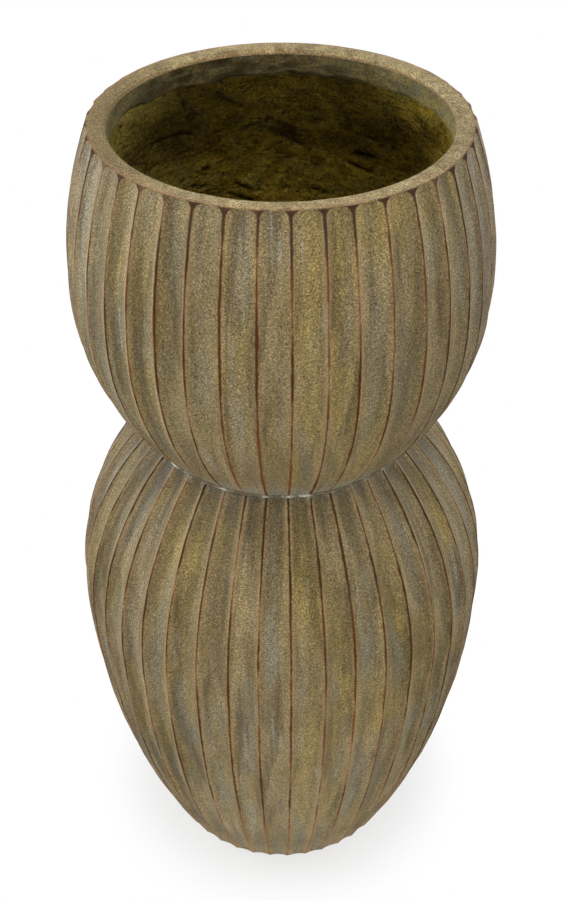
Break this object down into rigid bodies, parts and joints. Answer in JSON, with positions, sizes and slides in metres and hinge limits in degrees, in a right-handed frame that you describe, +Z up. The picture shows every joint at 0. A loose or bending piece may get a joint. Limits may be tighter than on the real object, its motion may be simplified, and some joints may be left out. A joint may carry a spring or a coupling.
{
  "type": "urn vase",
  "caption": "Tall fluted double-gourd urn vase with an open mouth, flat lip, pinched waist and flat foot, for holding flowers or a planted liner.",
  "frame": {"origin": "middle of the foot, on the surface that the vase stands on", "axes": "+Z up along the vase's axis, -Y to the front, where one flute crest points"},
  "size_m": [0.3678, 0.3675, 0.75],
  "materials": {
    "fluted_clay": "matte, sandy speckle over olive-grey, brown flute crests",
    "smooth_collar": "matte, trowelled smooth",
    "laid_backing": "rough, hand-laid",
    "pale_mortar": "matte, rubbed",
    "foot_cement": "matte, floated flat"
  },
  "bodies": {
    "root": {"upper_bowl_shell": "fluted_clay", "mouth_band": "smooth_collar", "upper_bowl_lining": "laid_backing", "waist_bead": "pale_mortar", "waist_strip": "laid_backing", "lower_body_shell": "fluted_clay", "lower_body_lining": "laid_backing", "base_slab": "foot_cement"}
  },
  "joints": []
}
